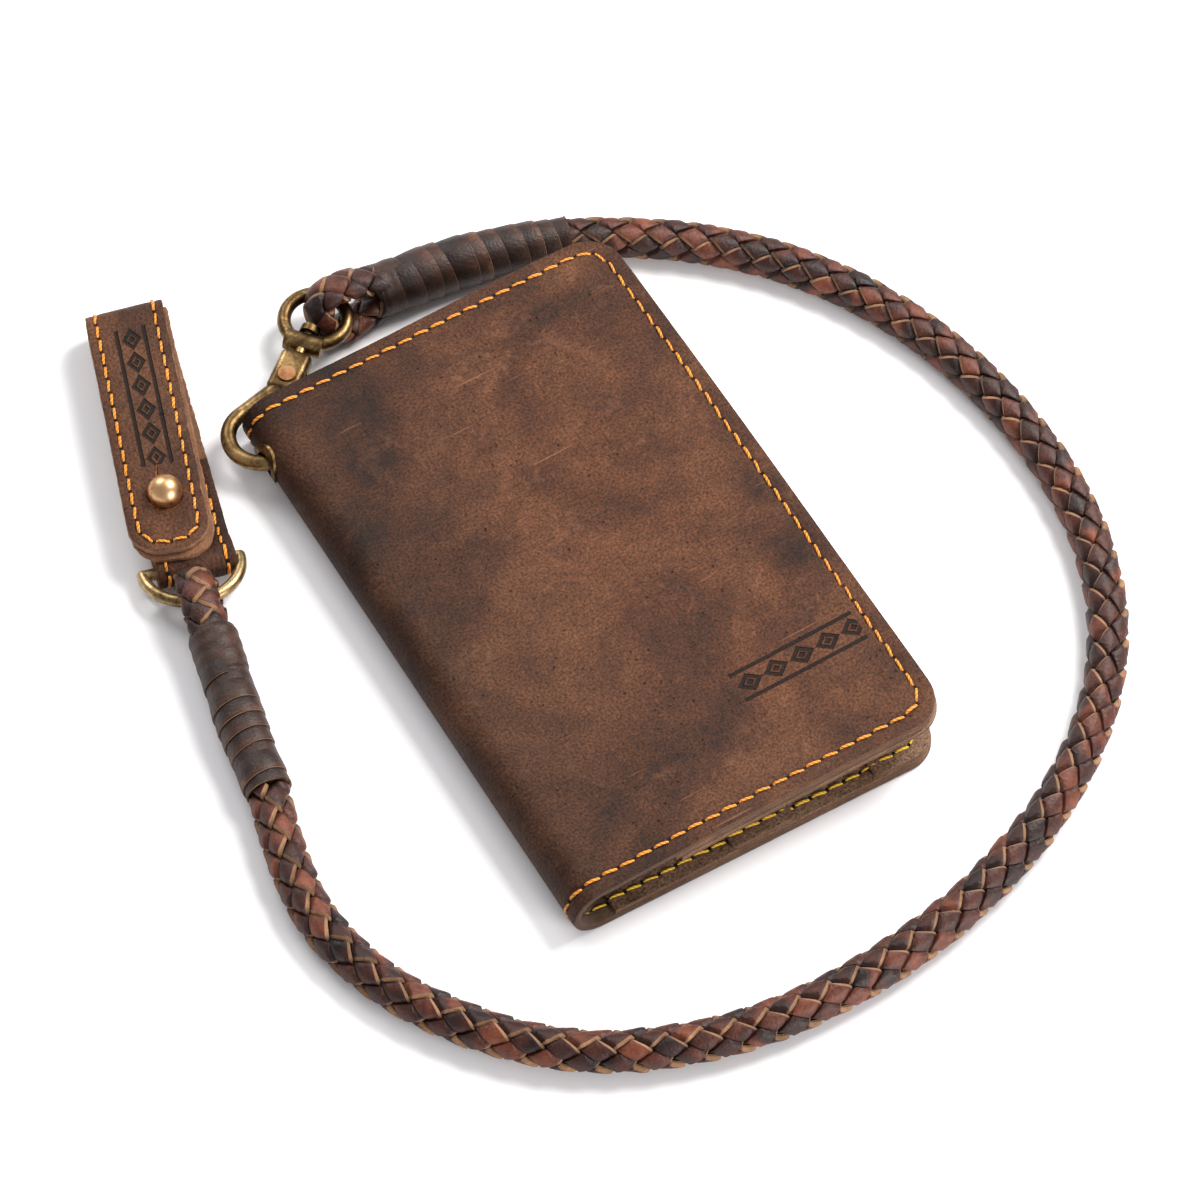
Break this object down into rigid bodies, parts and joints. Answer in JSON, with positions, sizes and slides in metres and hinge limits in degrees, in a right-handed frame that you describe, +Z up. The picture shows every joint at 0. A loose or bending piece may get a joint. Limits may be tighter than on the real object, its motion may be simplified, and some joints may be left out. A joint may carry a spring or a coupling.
{
  "type": "chain wallet",
  "caption": "Bifold leather wallet on a braided leather cord, with a swivel snap hook through an eyelet in its spine and a stud-fastened belt loop on a D-ring.",
  "frame": {"origin": "middle of the shut wallet's underside, on the surface that everything lies on", "axes": "+X from the wallet's spine to its free edge, +Y along the spine towards the snap hook, +Z up off the surface"},
  "size_m": [0.1979, 0.225, 0.0187],
  "materials": {
    "cover_leather": "waxed dark brown, scuffed",
    "lining_leather": "raw tan-brown, suede side showing",
    "strap_leather": "waxed dark brown",
    "strap_lining_leather": "raw tan",
    "braid_leather": "dark reddish brown strands, tan cut edges",
    "whipping_leather": "waxed strip, wrapped",
    "antique_brass": "antiqued, dark in its recesses",
    "copper_brass": "polished, reddish",
    "spring_steel": "dull"
  },
  "bodies": {
    "wallet_back": {"cover_back": "cover_leather", "back_lining": "lining_leather", "card_strip": "lining_leather", "edge_pocket": "lining_leather", "cover_spine": "cover_leather", "spine_eyelet": "antique_brass", "cord_braid": "braid_leather", "whipping_hook_end": "whipping_leather", "whipping_belt_end": "whipping_leather", "loop_hook_end": "braid_leather", "loop_belt_end": "braid_leather"},
    "front_cover": {"cover_front": "cover_leather", "front_lining": "lining_leather", "front_slip_pocket": "lining_leather"},
    "hook": {"hook_body": "antique_brass", "gate_rivet": "antique_brass", "gate_spring": "spring_steel"},
    "gate": {"hook_gate": "antique_brass"},
    "swivel_eye": {"swivel_eye": "antique_brass"},
    "d_ring": {"d_ring": "antique_brass"},
    "belt_strap": {"strap_back": "strap_leather", "strap_top_fold": "strap_leather", "ball_stud": "copper_brass", "stud_screw": "copper_brass"},
    "belt_flap": {"flap_outer": "strap_leather", "flap_lining": "strap_lining_leather"}
  },
  "joints": [
    {"name": "front_cover_open", "type": "hinge", "parent": "wallet_back", "child": "front_cover", "pos_m": [-0.0407, 0, 0.0133], "axis": [0, -1, 0], "range_deg": [0, 140], "deforming": ["cover_spine"]},
    {"name": "hook_swing", "type": "hinge", "parent": "wallet_back", "child": "hook", "pos_m": [-0.0436, 0.0588, 0.0068], "axis": [0, 0, 1], "range_deg": [0, 10], "deforming": ["loop_hook_end", "whipping_hook_end"]},
    {"name": "gate_open", "type": "hinge", "parent": "hook", "child": "gate", "pos_m": [-0.03042, 0.07551, 0.0068], "axis": [0, 0, -1], "range_deg": [0, 20], "stiffness_Nm_per_rad": 0.004, "springref_deg": -17.19},
    {"name": "eye_swivel", "type": "hinge", "parent": "hook", "child": "swivel_eye", "pos_m": [-0.01734, 0.08668, 0.0068], "axis": [0.7604, 0.6494, 0], "continuous": true, "deforming": ["loop_hook_end"]},
    {"name": "d_ring_swing", "type": "hinge", "parent": "wallet_back", "child": "d_ring", "pos_m": [-0.07223, 0.03607, 0.0056], "axis": [-0.9659, 0.2588, 0], "range_deg": [-60, 45], "deforming": ["loop_belt_end"]},
    {"name": "strap_swing", "type": "hinge", "parent": "d_ring", "child": "belt_strap", "pos_m": [-0.0696, 0.0459, 0.00345], "axis": [-0.9659, 0.2588, 0], "range_deg": [-40, 60]},
    {"name": "flap_open", "type": "hinge", "parent": "belt_strap", "child": "belt_flap", "pos_m": [-0.05245, 0.10989, 0.00515], "axis": [-0.9659, 0.2588, 0], "range_deg": [0, 150], "deforming": ["strap_top_fold"]}
  ]
}
